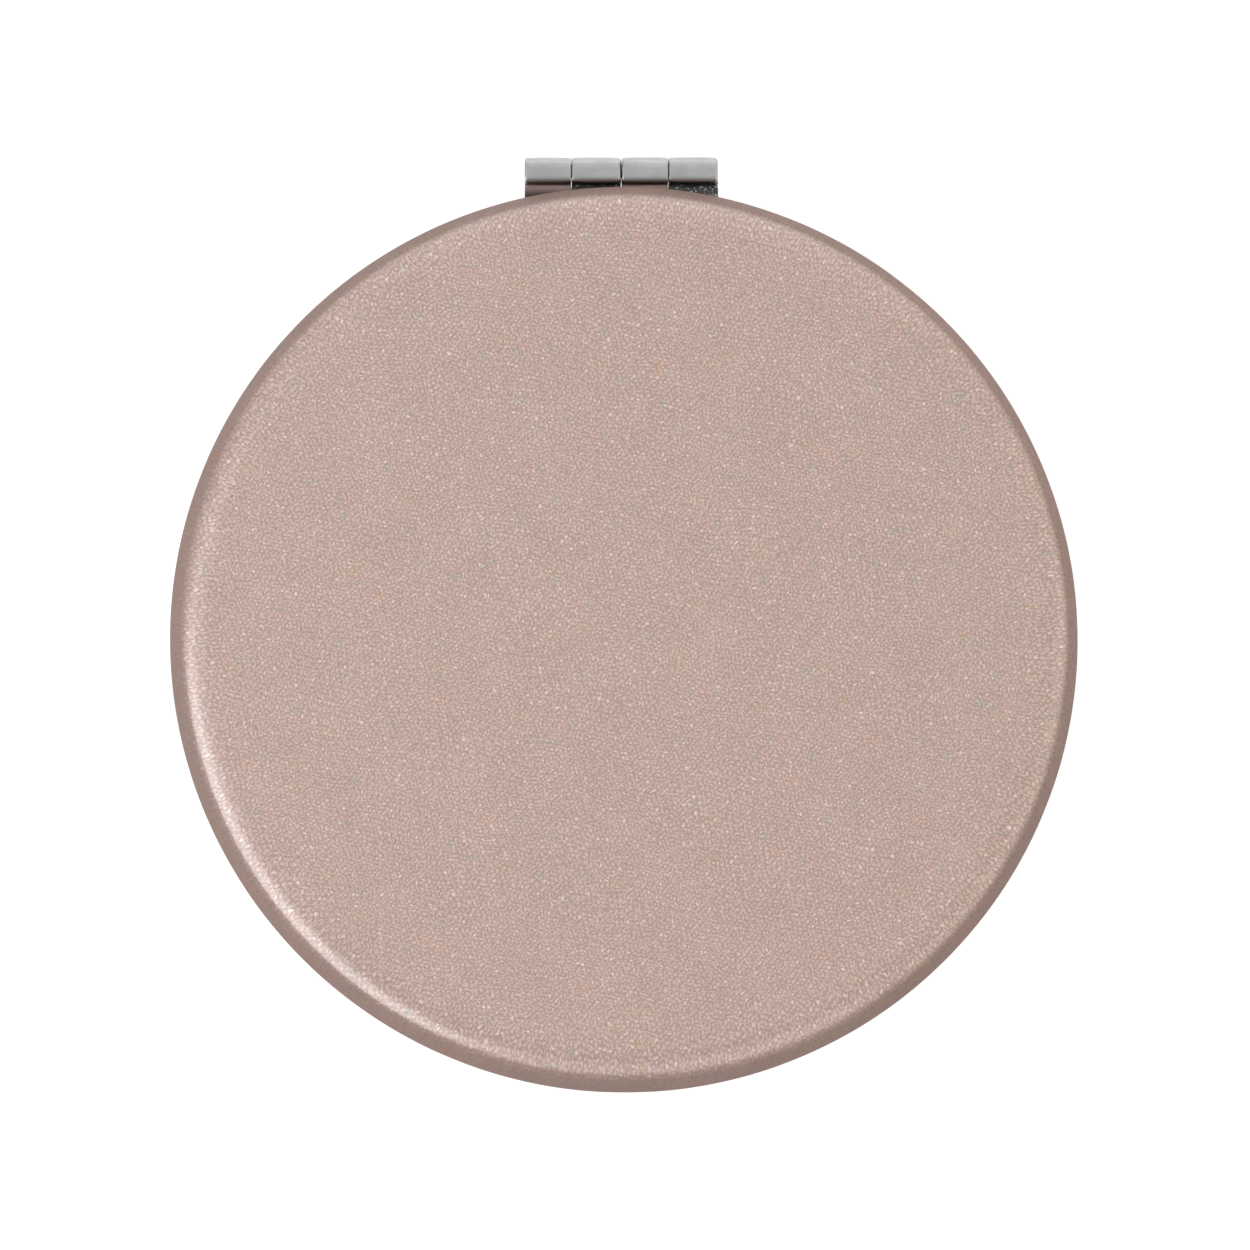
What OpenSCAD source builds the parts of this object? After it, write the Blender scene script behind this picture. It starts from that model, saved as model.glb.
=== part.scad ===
// Round leather-covered compact mirror with a curled-knuckle hinge.
// Closed, lying on its base. +Z is up, the hinge is at +Y and the front at -Y.
// The origin is on the underside of the base, on the axis of the round case.
// Both halves are drawn alike, at a height w above their own parting face.

/* [Case] */
// Diameter of the case over the leather
case_d = 70; // [60:1:80]
// Height of the closed case
case_h = 10; // [9.6:0.1:12]
// Gap between the two frame rings when closed
parting_gap = 0.1; // [0.06:0.02:0.2]

/* [Side wall] */
// Lean of the side wall from upright, in degrees
wall_lean = 20; // [12:1:26]
// Radius of the shell's crown, where the padded face turns down
crown_r = 2.9; // [2:0.1:3]
// Angle that the crown turns through, in degrees
crown_turn = 33; // [24:1:40]
// Radius of the shell's upper edge, below the crown
edge_r = 0.2; // [0.1:0.05:0.4]
// Radius of the shell's rim, round which the leather turns in
rim_r = 0.25; // [0.1:0.05:0.4]

/* [Leather and padding] */
// Thickness of the leather
leather_t = 0.7; // [0.5:0.1:0.9]
// Thickness of the foam under the face
foam_t = 0.5; // [0.3:0.1:0.8]

/* [Shell] */
// Width of the rim's flat face, on which the leather is turned in
rim_w = 2; // [1.9:0.1:2.4]
// Height of the ledge that the frame ring stands on
ledge_h = 0.5; // [0.3:0.1:0.6]

/* [Frame ring] */
// Thickness of the ring's flange, and of the hinge leaves let into it
flange_t = 0.5; // [0.4:0.05:0.6]
// Reach of the flange past the rim's flat face
flange_reach = 0.25; // [0.1:0.05:0.4]
// Width of the ring's body between the mirror and the shell
body_w = 2.1; // [1.9:0.1:2.4]
// Lap of the ring's lip over the mirror
lip_lap = 0.8; // [0.5:0.1:1]
// Bevel on the lip's inner edge
lip_bevel = 0.25; // [0.1:0.05:0.35]
// Height of the snap bead round the ring's body
snap_bead = 0.12; // [0.06:0.02:0.14]

/* [Mirrors] */
// Thickness of the flat mirror in the lid
glass_t = 1.5; // [1.2:0.1:1.7]
// Share of the room behind the flat mirror that its foam tape fills, the shell's floor taking the rest
tape_share = 0.4; // [0.3:0.05:0.5]
// Thickness of the curved mirror in the base
curved_glass_t = 1.3; // [1:0.1:1.4]
// Radius of the curved mirror's hollow face, for twice the size
mirror_curve_r = 1000; // [800:50:1500]

/* [Hinge] */
// Diameter of the hinge pin
pin_d = 1.1; // [0.8:0.05:1.2]
// Length of each of the lid's two knuckles
lid_knuckle_w = 3.56; // [3:0.02:4.5]
// Length of each of the base's two knuckles
base_knuckle_w = 3.8; // [3:0.02:4.5]
// Gap between neighbouring knuckles
knuckle_gap = 0.1; // [0.06:0.02:0.2]
// Gap between the leather and the knuckles
hinge_clear = 0.38; // [0.3:0.02:0.6]
// Diameter of a rivet's head
rivet_head_d = 1.3; // [1:0.05:1.4]
// Diameter of a rivet's shank
rivet_d = 0.7; // [0.5:0.05:0.8]
// Length of a rivet
rivet_l = 1.6; // [1.2:0.05:1.7]
// Distance between a leaf's two rivets
rivet_pitch = 9.2; // [6:0.2:10]

/* [Magnets] */
// Length of a closing magnet
magnet_l = 5; // [4:0.2:6]
// Width of a closing magnet
magnet_w = 1.2; // [0.9:0.05:1.3]
// Depth of a closing magnet
magnet_h = 1.2; // [0.8:0.1:1.3]

/* [Hidden] */

$fn = 120;
cut = 0.2;               // overrun of every cut past the face that it goes through
arc_steps = 8;           // straight steps in a drawn arc
bowl_steps = 12;         // steps across the curved mirror, from its centre to its edge

// Clearances
foam_play = 0.1;         // foam to its tray
ring_play = 0.05;        // ring's body to the shell
mirror_play = 0.1;       // mirror to the ring, at its edge and in front
pad_inset = 0.2;         // mirror pad inside the mirror's edge
turn_play = 0.1;         // end of the turned-in leather to the ring's body
leaf_play = 0.04;        // leaf to its notch in the ring
pin_play = 0.03;         // pin to a knuckle's bore
slot_clear = 0.12;       // leaf's slot to the other leaf's knuckle
rivet_play = 0.02;       // rivet to its hole
magnet_play = 0.05;      // magnet to its pocket

// Small sizes
leaf_lap = 0.35;         // lip left whole between the leaf and the ring's inner wall
magnet_wall = 0.35;      // shell between a magnet's pocket and the ring
valley_r = 0.3;          // fillet between a leaf and its knuckle
knuckle_round = 0.22;    // rounding of a knuckle's ends
seam_gap = 0.1;          // opening left where the curled sheet meets its leaf
pin_inset = 0.15;        // pin's end inside the outer knuckle
pin_bevel = 0.12;        // bevel on the pin's ends
rivet_head_h = 0.3;      // depth of a rivet's sunk head

// Heights above the parting face
half_h = (case_h - parting_gap) / 2;
core_w = half_h - leather_t;
foam_w = core_w - foam_t;
glass_w = flange_t + mirror_play;
tape_w = glass_w + glass_t;
tape_t = tape_share * (foam_w - tape_w);
floor_w = tape_w + tape_t;
ledge_w = floor_w - ledge_h;
rim_face_w = flange_t + leather_t;
snap_w = (rim_face_w + ledge_w) / 2;
axis_w = -parting_gap / 2;
lid_z = (case_h + parting_gap) / 2;
base_z = (case_h - parting_gap) / 2;

// Side wall: centres [radius, height] of the rim's, edge's and crown's arcs
case_r = case_d / 2;
wall_turn = 90 - wall_lean;
rim_c = [case_r - leather_t - rim_r, rim_face_w + rim_r];
crown_c_w = core_w - crown_r;
edge_c_w = crown_c_w + (crown_r - edge_r) * cos(crown_turn);
edge_c_r = rim_c[0] + ((rim_c[1] - edge_c_w) * cos(wall_turn) + rim_r - edge_r) / sin(wall_turn);
edge_c = [edge_c_r, edge_c_w];
crown_c = [edge_c_r - (crown_r - edge_r) * sin(crown_turn), crown_c_w];
face_r = crown_c[0];

// Radii of what the shell holds
seat_r = rim_c[0] - rim_w;
body_out_r = seat_r - ring_play;
body_in_r = body_out_r - body_w;
mirror_r = body_in_r - mirror_play;
window_r = mirror_r - lip_lap;
pad_r = mirror_r - pad_inset;
turn_r = seat_r + turn_play;
flange_out_r = rim_c[0] + flange_reach;

// Hinge
leaf_t = flange_t;
bore_r = pin_d / 2 + pin_play;
knuckle_r = bore_r + leaf_t;
hinge_y = case_r + hinge_clear + knuckle_r;
hinge_w = 2 * lid_knuckle_w + 2 * base_knuckle_w + 3 * knuckle_gap;
slot_y = hinge_y - knuckle_r - slot_clear;
root_y = hinge_y - (bore_r + knuckle_r) / 2;
notch_r = body_in_r + leaf_lap;
leaf_r = notch_r + leaf_play;
rivet_r = (leaf_r + body_out_r) / 2;
rivet_y = sqrt(rivet_r * rivet_r - rivet_pitch * rivet_pitch / 4);

// Curved mirror: centre of its hollow face
curve_w = glass_w - sqrt(mirror_curve_r * mirror_curve_r - mirror_r * mirror_r);

// Points [radius, height] of an arc, with its angles measured from straight up towards the outside
function arc(centre, r, from, to, steps = arc_steps) =
    [for (i = [0:steps]) let (a = from + (to - from) * i / steps) centre + r * [sin(a), cos(a)]];

// Side wall from the face round to the rim, at a distance t outside the shell
function wall_points(t) = concat(
    arc(crown_c, crown_r + t, 0, crown_turn),
    arc(edge_c, edge_r + t, crown_turn, wall_turn, arc_steps / 2),
    arc(rim_c, rim_r + t, wall_turn, 90, 2),
    arc(rim_c, rim_r + t, 90, 180));

// Points [radius, height] of a shallow bowl of radius r, from its centre out to the radius reach
function bowl_points(r, reach) =
    [for (i = [0:bowl_steps]) let (x = reach * i / bowl_steps) [x, curve_w + sqrt(r * r - x * x)]];

function backwards(points) = [for (i = [len(points) - 1:-1:0]) points[i]];

// Left end and length of the knuckle at place i, counted along +X
function knuckle_x(i) = -hinge_w / 2 + ceil(i / 2) * lid_knuckle_w + floor(i / 2) * base_knuckle_w
    + i * knuckle_gap;
function knuckle_len(i) = i % 2 == 0 ? lid_knuckle_w : base_knuckle_w;

module in_lid() {
    translate([0, 0, lid_z]) children();
}

module in_base() {
    translate([0, 0, base_z]) mirror([0, 0, 1]) children();
}

// Leather skin drawn over the shell and turned in over its rim
module leather_cover() {
    rotate_extrude()
        polygon(concat(
            [[0, half_h]], wall_points(leather_t),
            [[turn_r, flange_t], [turn_r, rim_face_w]],
            backwards(wall_points(0)), [[0, core_w]]));
}

// Thin foam disc in the shell's tray, which pads the face
module foam_pad() {
    translate([0, 0, foam_w]) cylinder(h = foam_t, r = face_r - foam_play);
}

// Moulded shell with a tray for the foam, a seat for the ring and a pocket for the magnet
module shell() {
    groove = snap_bead + ring_play;
    difference() {
        rotate_extrude()
            polygon(concat(
                [[0, foam_w], [face_r, foam_w]], wall_points(0),
                [[seat_r, rim_face_w], [seat_r, snap_w - groove], [seat_r + groove, snap_w],
                 [seat_r, snap_w + groove], [seat_r, ledge_w], [body_in_r, ledge_w],
                 [body_in_r, floor_w], [0, floor_w]]));
        magnet_block(magnet_play);
    }
}

module magnet_block(play) {
    size = [magnet_l + 2 * play, magnet_w + 2 * play, magnet_h + play + (play > 0 ? cut : 0)];
    centre_y = -(seat_r + magnet_wall + magnet_w / 2);
    translate([-size[0] / 2, centre_y - size[1] / 2, rim_face_w + magnet_h + play - size[2]]) cube(size);
}

// Chromed ring: flange over the turned-in leather, lip over the mirror, body in the shell
module frame_ring() {
    edge = flange_t / 2;
    difference() {
        rotate_extrude()
            polygon(concat(
                [[window_r, flange_t], [window_r, lip_bevel], [window_r + lip_bevel, 0]],
                backwards(arc([flange_out_r - edge, edge], edge, 0, 180))));
        leaf_notch();
    }
    difference() {
        rotate_extrude()
            polygon([[body_out_r, flange_t], [body_out_r, snap_w - snap_bead],
                     [body_out_r + snap_bead, snap_w], [body_out_r, snap_w + snap_bead],
                     [body_out_r, ledge_w], [body_in_r, ledge_w], [body_in_r, flange_t]]);
        for (side = [-1, 1])
            translate([side * rivet_pitch / 2, rivet_y, flange_t - cut])
                cylinder(h = rivet_l + rivet_play - flange_t + cut, r = rivet_d / 2 + rivet_play, $fn = 32);
    }
}

// Part of the flange that gives way to the hinge leaf
module leaf_notch() {
    notch_w = hinge_w + 2 * leaf_play;
    difference() {
        translate([-notch_w / 2, 0, -cut]) cube([notch_w, case_r, flange_t + 2 * cut]);
        translate([0, 0, -2 * cut]) cylinder(h = flange_t + 4 * cut, r = notch_r);
    }
}

// Hinge leaf of one half, with its curled knuckles at every second place from first
module hinge_leaf(first) {
    difference() {
        union() {
            linear_extrude(leaf_t)
                difference() {
                    translate([-hinge_w / 2, 0]) square([hinge_w, slot_y]);
                    circle(r = leaf_r);
                }
            for (i = [first, first + 2])
                translate([knuckle_x(i), 0, 0]) knuckle(knuckle_len(i));
        }
        for (i = [first, first + 2])
            translate([knuckle_x(i), hinge_y, axis_w]) knuckle_cuts(knuckle_len(i));
        for (side = [-1, 1])
            translate([side * rivet_pitch / 2, rivet_y, 0]) rivet_hole();
    }
}

// Knuckle of one curled sheet and the root that carries it, from x = 0
module knuckle(length) {
    valley_c = [-sqrt((knuckle_r + valley_r) * (knuckle_r + valley_r)
                      - (leaf_t + valley_r - axis_w) * (leaf_t + valley_r - axis_w)),
                leaf_t + valley_r - axis_w];
    lean = atan2(-valley_c[0], -valley_c[1]);
    translate([0, hinge_y, axis_w]) rotate([0, 90, 0]) rotate_extrude()
        polygon(concat(
            [[0, 0]], backwards(arc([knuckle_r - knuckle_round, knuckle_round], knuckle_round, 90, 180, 4)),
            backwards(arc([knuckle_r - knuckle_round, length - knuckle_round], knuckle_round, 0, 90, 4)),
            [[0, length]]));
    rotate([90, 0, 90]) linear_extrude(length) {
        translate([slot_y - leaf_t, 0]) square([root_y - slot_y + leaf_t, leaf_t]);
        translate([hinge_y, axis_w])
            polygon(concat([[root_y - hinge_y, leaf_t - axis_w]], arc(valley_c, valley_r, 180, lean, 5)));
    }
}

// Bore of a knuckle, and the seam where its sheet comes round to the leaf
module knuckle_cuts(length) {
    translate([-cut, 0, 0]) rotate([0, 90, 0]) cylinder(h = length + 2 * cut, r = bore_r, $fn = 64);
    translate([-cut, -knuckle_r - cut, -axis_w - seam_gap])
        cube([length + 2 * cut, knuckle_r + cut, seam_gap]);
}

module rivet(play) {
    head_r = rivet_head_d / 2 + play;
    shank_r = rivet_d / 2 + play;
    cylinder(h = rivet_head_h + play, r1 = head_r, r2 = shank_r, $fn = 48);
    cylinder(h = rivet_l + play, r = shank_r, $fn = 48);
}

module rivet_hole() {
    rivet(rivet_play);
    translate([0, 0, -cut]) cylinder(h = cut, r = rivet_head_d / 2 + rivet_play, $fn = 48);
}

module hinge_rivets() {
    for (side = [-1, 1])
        translate([side * rivet_pitch / 2, rivet_y, 0]) rivet(0);
}

// Flat glass behind the lip, with its foam tape
module flat_mirror() {
    translate([0, 0, glass_w]) cylinder(h = glass_t, r = mirror_r);
}

module flat_mirror_pad() {
    translate([0, 0, tape_w]) cylinder(h = tape_t, r = pad_r);
}

// Bent glass of even thickness, hollow towards the user
module curved_mirror() {
    rotate_extrude()
        polygon(concat(
            bowl_points(mirror_curve_r, mirror_r),
            backwards(bowl_points(mirror_curve_r + curved_glass_t, mirror_r))));
}

module curved_mirror_pad() {
    rotate_extrude()
        polygon(concat(
            bowl_points(mirror_curve_r + curved_glass_t, pad_r),
            [[pad_r, floor_w], [0, floor_w]]));
}

module base_leather_cover() { color([0.76, 0.66, 0.62]) in_base() leather_cover(); }
module base_foam_pad() { color([0.93, 0.92, 0.88]) in_base() foam_pad(); }
module base_shell() { color([0.2, 0.2, 0.21]) in_base() shell(); }
module base_frame_ring() { color([0.78, 0.79, 0.8]) in_base() frame_ring(); }
module base_magnifying_mirror() { color([0.7, 0.78, 0.82]) in_base() curved_mirror(); }
module base_mirror_pad() { color([0.85, 0.85, 0.83]) in_base() curved_mirror_pad(); }
module base_magnet() { color([0.55, 0.56, 0.58]) in_base() magnet_block(0); }
module base_hinge_leaf() { color([0.74, 0.75, 0.76]) in_base() hinge_leaf(1); }
module base_hinge_rivets() { color([0.68, 0.69, 0.7]) in_base() hinge_rivets(); }

module lid_leather_cover() { color([0.76, 0.66, 0.62]) in_lid() leather_cover(); }
module lid_foam_pad() { color([0.93, 0.92, 0.88]) in_lid() foam_pad(); }
module lid_shell() { color([0.2, 0.2, 0.21]) in_lid() shell(); }
module lid_frame_ring() { color([0.78, 0.79, 0.8]) in_lid() frame_ring(); }
module lid_mirror() { color([0.7, 0.78, 0.82]) in_lid() flat_mirror(); }
module lid_mirror_pad() { color([0.85, 0.85, 0.83]) in_lid() flat_mirror_pad(); }
module lid_magnet() { color([0.55, 0.56, 0.58]) in_lid() magnet_block(0); }
module lid_hinge_leaf() { color([0.74, 0.75, 0.76]) in_lid() hinge_leaf(0); }
module lid_hinge_rivets() { color([0.68, 0.69, 0.7]) in_lid() hinge_rivets(); }

module hinge_pin() {
    pin_l = hinge_w - 2 * pin_inset;
    pin_r = pin_d / 2;
    color([0.6, 0.61, 0.62])
        translate([-pin_l / 2, hinge_y, case_h / 2]) rotate([0, 90, 0]) rotate_extrude()
            polygon([[0, 0], [pin_r - pin_bevel, 0], [pin_r, pin_bevel], [pin_r, pin_l - pin_bevel],
                     [pin_r - pin_bevel, pin_l], [0, pin_l]]);
}

base_leather_cover();
base_foam_pad();
base_shell();
base_frame_ring();
base_magnifying_mirror();
base_mirror_pad();
base_magnet();
base_hinge_leaf();
base_hinge_rivets();
lid_leather_cover();
lid_foam_pad();
lid_shell();
lid_frame_ring();
lid_mirror();
lid_mirror_pad();
lid_magnet();
lid_hinge_leaf();
lid_hinge_rivets();
hinge_pin();
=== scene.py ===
import math

import bmesh
import bpy
from mathutils import Matrix, Vector
from mathutils.geometry import delaunay_2d_cdt


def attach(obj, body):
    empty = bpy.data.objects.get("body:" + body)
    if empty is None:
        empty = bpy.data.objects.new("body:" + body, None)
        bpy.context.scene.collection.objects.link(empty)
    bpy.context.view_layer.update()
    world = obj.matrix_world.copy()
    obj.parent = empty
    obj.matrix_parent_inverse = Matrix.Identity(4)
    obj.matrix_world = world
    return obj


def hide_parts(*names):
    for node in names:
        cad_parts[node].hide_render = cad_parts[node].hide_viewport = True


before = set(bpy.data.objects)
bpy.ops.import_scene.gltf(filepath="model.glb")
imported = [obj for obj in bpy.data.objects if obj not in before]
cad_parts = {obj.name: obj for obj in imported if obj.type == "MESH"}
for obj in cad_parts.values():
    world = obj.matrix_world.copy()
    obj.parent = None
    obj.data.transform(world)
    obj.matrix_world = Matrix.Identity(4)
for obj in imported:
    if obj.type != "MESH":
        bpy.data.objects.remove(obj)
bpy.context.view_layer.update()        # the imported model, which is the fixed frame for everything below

mm = 0.001
print("frame loaded:", len(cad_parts), "nodes")


def linkPiece(name, data):
    piece = bpy.data.objects.new(name, data)
    bpy.context.scene.collection.objects.link(piece)
    return piece


# Camera

cameraView = {
    "distance": 450,        # mm from the case to the lens
    "tiltToFront": 4.4,      # degrees off straight down
    "tiltToLeft": 1.7,
    "roll": -0.38,
    "aimAt": (0.033, 0.977, 6.0),   # mm, a little behind the middle of the lid
    "lens": 167.9,
    "sensor": 36,
    "nearest": 0.01, "farthest": 20,   # m
}


def setUpCamera(view):
    towards = Vector((-math.tan(math.radians(view["tiltToLeft"])),
                      -math.tan(math.radians(view["tiltToFront"])), 1)).normalized()
    lensData = bpy.data.cameras.new("photoCamera")
    lensData.lens = view["lens"]
    lensData.sensor_width = view["sensor"]
    lensData.clip_start, lensData.clip_end = view["nearest"], view["farthest"]
    camera = linkPiece("photoCamera", lensData)
    camera.location = Vector(view["aimAt"]) * mm + towards * view["distance"] * mm
    right = Vector((0, 1, 0)).cross(towards).normalized()      # the picture's up is the frame's +Y
    turn = Matrix((right, towards.cross(right), towards)).transposed()
    turn = turn @ Matrix.Rotation(math.radians(view["roll"]), 3, "Z")
    camera.rotation_euler = turn.to_euler()
    bpy.context.scene.camera = camera


setUpCamera(cameraView)
print("camera set")


# The sizes of the case in mm, heights measured from a half's parting face

caseSizes = {
    "lidZ": 5.05, "baseZ": 4.95,       # the two parting faces
    "halfHeight": 4.95,
    "leather": 0.7,
    "crown": (31.863, 1.35), "crownRadius": 2.9, "crownTurn": 33,
    "edge": (33.334, 3.614), "edgeRadius": 0.2, "wallTurn": 70,
    "rim": (34.05, 1.45), "rimRadius": 0.25,
    "turnRadius": 32.15, "seat": 0.5,
    "axisY": 36.46, "axisZ": 5.0,      # the hinge
}


# Shader helpers

def startMaterial(name):
    material = bpy.data.materials.new(name)
    material.use_nodes = True
    material.node_tree.nodes.clear()
    return material, material.node_tree


def feed(tree, sockets, *values):
    # an output is linked to its socket, and anything else becomes the socket's value
    for socket, value in zip(sockets, values):
        if isinstance(value, bpy.types.NodeSocket):
            tree.links.new(value, socket)
        else:
            socket.default_value = value


def addNode(tree, kind, settings=None, **sockets):
    # sockets are given by name, with _ for a space
    node = tree.nodes.new(kind)
    for key, value in (settings or {}).items():
        setattr(node, key, value)
    for key, value in sockets.items():
        wanted = key.replace("_", " ")
        feed(tree, [next(s for s in node.inputs if s.name == wanted and s.enabled)], value)
    return node


def mathNode(tree, operation, first, second=0.0, clamp=False):
    node = addNode(tree, "ShaderNodeMath", {"operation": operation, "use_clamp": clamp})
    feed(tree, node.inputs, first, second)
    return node.outputs[0]


def plus(tree, first, second):
    return mathNode(tree, "ADD", first, second)


def minus(tree, first, second):
    return mathNode(tree, "SUBTRACT", first, second)


def times(tree, first, *others):
    for other in others:
        first = mathNode(tree, "MULTIPLY", first, other)
    return first


def vectorNode(tree, operation, *values):
    node = addNode(tree, "ShaderNodeVectorMath", {"operation": operation})
    sockets = (node.inputs[0], node.inputs["Scale"]) if operation == "SCALE" else node.inputs
    feed(tree, sockets, *values)
    return node.outputs["Value" if operation == "DOT_PRODUCT" else "Vector"]


def noiseNode(tree, place, scale, detail, roughness=0.5, distortion=0.0, flat=False, output="Fac"):
    node = addNode(tree, "ShaderNodeTexNoise", {"noise_dimensions": "2D" if flat else "3D"}, Vector=place,
                   Scale=scale, Detail=detail, Roughness=roughness, Distortion=distortion)
    return node.outputs[output]


def rampBetween(tree, value, low, high, toLow=0.0, toHigh=1.0):
    node = addNode(tree, "ShaderNodeMapRange", {"interpolation_type": "SMOOTHSTEP"},
                   Value=value, From_Min=low, From_Max=high, To_Min=toLow, To_Max=toHigh)
    return node.outputs[0]


def mixColours(tree, share, first, second, blend="MIX"):
    node = addNode(tree, "ShaderNodeMix", {"data_type": "RGBA", "blend_type": blend})
    colours = [(*c, 1.0) if isinstance(c, tuple) else c for c in (first, second)]
    feed(tree, [node.inputs[i] for i in (0, 6, 7)], share, *colours)
    return node.outputs[2]


def pieceSpace(tree):
    return addNode(tree, "ShaderNodeTexCoord").outputs["Object"]


def axesOf(tree, vector):
    return addNode(tree, "ShaderNodeSeparateXYZ", Vector=vector).outputs


def bumpOf(tree, height, depth, strength=1.0):
    # depth in mm
    return addNode(tree, "ShaderNodeBump", Strength=strength, Distance=depth * mm, Height=height).outputs[0]


def finishMaterial(tree, **sockets):
    shader = addNode(tree, "ShaderNodeBsdfPrincipled", **sockets)
    addNode(tree, "ShaderNodeOutputMaterial", Surface=shader.outputs[0])


# Materials: a noise is its scale, detail and roughness, and a range is where a ramp starts and ends

leatherFinish = {
    "pitch": 0.365,        # mm from one pebble to the next
    "waveTurns": (17, 77, 137),   # degrees
    "warps": ((0.13, 1.5), (1.3, 0.17), (3.3, 0.30)),   # each a scale per mm and a reach in mm
    "fine": (6.3, 0.0),
    "fineTone": 1.6, "fineRelief": 0.5, "domeRelief": 0.8,
    "toneRange": (-0.20, 0.95),
    # painted shade and light: the valleys between the pebbles darker, their tops lighter
    "valley": (0.389, 0.244, 0.203),
    "pebble": (0.601, 0.438, 0.383),
    # painted glint: the pearly white put on the tops of lucky pebbles
    "glintColour": (1.0, 0.91, 0.87),
    "glintShare": 0.50,
    "luck": (2.2, 0.0), "luckRange": (0.52, 0.80),      # which pebbles get a painted glint
    "glintRange": (0.45, 1.0),    # and how high up a pebble it starts
    "clouds": (0.8, 2.0, 0.6),
    # the pearl turns a little grey-green in small clouds, and amber in a few spots
    "tints": (((0.57, 0.72), (0.86, 1.00, 0.99)), ((0.64, 0.74), (1.05, 0.97, 0.84))),
    "patches": (0.22, 3.0, 0.55), "patchRange": (0.3, 0.7, 0.97, 1.03),
    "wall": (0.285, 0.187, 0.158),    # painted shade: the side wall's leather darkened for the dimmer light it gets
    "wallShadeShare": 0.9, "wallRough": 0.2,
    "crownLight": 1.06,        # painted light: a little lighter over the crown
    "crownFlat": 0.85,        # and the pebbles are flatter there
    "creasePitch": 0.17,        # mm, fine creases across the crown
    # painted shade in the creases' hollows
    "creaseRange": (0.30, 0.60), "creaseShadeTone": 0.13,
    "creaseDepth": 0.008, "grainDepth": 0.012,        # mm
    "roughness": (0.46, 0.33),    # in the valleys and on the pebbles
    "metallic": 0.05, "density": 1.4,
    "glossTo": 0.35,        # a clear finish, worn off the side wall from this share of it on
    "glossRough": 0.28, "glossDensity": 2.0,
}


def makePebbles(tree, hide, finish):
    # three waves at 60 degrees make even round bumps, and the hide is warped so that no two are alike
    warped = hide
    for scale, reach in finish["warps"]:
        pull = noiseNode(tree, hide, scale, 0.0, flat=True, output="Color")
        warped = vectorNode(tree, "MULTIPLY_ADD", pull, (reach, reach, 0.0), warped)
    step = 2 * math.pi / (finish["pitch"] * math.sqrt(0.75))
    waves = 0.0
    for turn in finish["waveTurns"]:
        way = (step * math.cos(math.radians(turn)), step * math.sin(math.radians(turn)), 0.0)
        waves = plus(tree, waves, mathNode(tree, "COSINE", vectorNode(tree, "DOT_PRODUCT", warped, way)))
    lowest, highest = -1.5, 3.0
    return mathNode(tree, "DIVIDE", minus(tree, waves, lowest), highest - lowest)


def makePearlLeather(finish):
    material, tree = startMaterial("pearlLeather")
    hide, drawn = [addNode(tree, "ShaderNodeAttribute", {"attribute_name": label}).outputs["Vector"]
                   for label in ("hideSpace", "creaseSpace")]
    wall, crown = [addNode(tree, "ShaderNodeAttribute", {"attribute_name": label}).outputs["Fac"]
                   for label in ("wallShare", "creaseShare")]
    dome = makePebbles(tree, hide, finish)
    fine = noiseNode(tree, hide, *finish["fine"], flat=True)

    # tone: painted shade in the pebbles' valleys and painted light on their tops, mixed with the grain's
    # random fine tone, and a painted glint on the lucky ones
    bright = plus(tree, dome, times(tree, minus(tree, fine, 0.5), finish["fineTone"]))
    lucky = rampBetween(tree, noiseNode(tree, hide, *finish["luck"], flat=True), *finish["luckRange"])
    # painted glint on the tops of the lucky pebbles
    glint = times(tree, lucky, rampBetween(tree, dome, *finish["glintRange"]), finish["glintShare"])
    tone = rampBetween(tree, bright, *finish["toneRange"])
    tone = mixColours(tree, tone, finish["valley"], finish["pebble"])
    tone = mixColours(tree, glint, tone, finish["glintColour"])
    # painted shade: the side wall takes the darker wall colour
    tone = mixColours(tree, times(tree, wall, finish["wallShadeShare"]), tone, finish["wall"])
    clouds = noiseNode(tree, hide, *finish["clouds"], output="Color")
    clouds = addNode(tree, "ShaderNodeSeparateColor", Color=clouds).outputs
    for cloud, (limits, tint) in zip(clouds, finish["tints"]):
        tinted = mixColours(tree, 1.0, tone, tint, "MULTIPLY")
        tone = mixColours(tree, rampBetween(tree, cloud, *limits), tone, tinted)

    # creases: noise drawn out across the crown, all round the case
    furrow = noiseNode(tree, drawn, 1.0 / finish["creasePitch"], 1.0)
    furrow = rampBetween(tree, furrow, *finish["creaseRange"])
    shade = rampBetween(tree, noiseNode(tree, hide, *finish["patches"]), *finish["patchRange"])
    # painted light: the crown is made a little lighter
    shade = times(tree, shade, rampBetween(tree, crown, 0.0, 1.0, 1.0, finish["crownLight"]))
    # painted shade: the crown darker in the hollows between the creases
    dark = times(tree, minus(tree, 1.0, furrow), crown, finish["creaseShadeTone"])
    shade = times(tree, shade, minus(tree, 1.0, dark))

    flattened = minus(tree, 1.0, times(tree, crown, finish["crownFlat"]))
    grain = plus(tree, times(tree, fine, finish["fineRelief"]), times(tree, dome, finish["domeRelief"]))
    folds = times(tree, furrow, crown, finish["creaseDepth"] / finish["grainDepth"])
    bump = bumpOf(tree, plus(tree, times(tree, grain, flattened), folds), finish["grainDepth"])

    roughness = rampBetween(tree, dome, 0.0, 1.0, *finish["roughness"])
    bare = rampBetween(tree, wall, finish["glossTo"], 1.0, 1.0, 0.0)
    finishMaterial(tree, Base_Color=vectorNode(tree, "SCALE", tone, shade), Normal=bump,
                   Roughness=plus(tree, roughness, times(tree, wall, finish["wallRough"])),
                   Metallic=times(tree, bare, finish["metallic"]), IOR=finish["density"], Coat_Weight=bare,
                   Coat_Roughness=finish["glossRough"], Coat_IOR=finish["glossDensity"])
    return material


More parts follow.
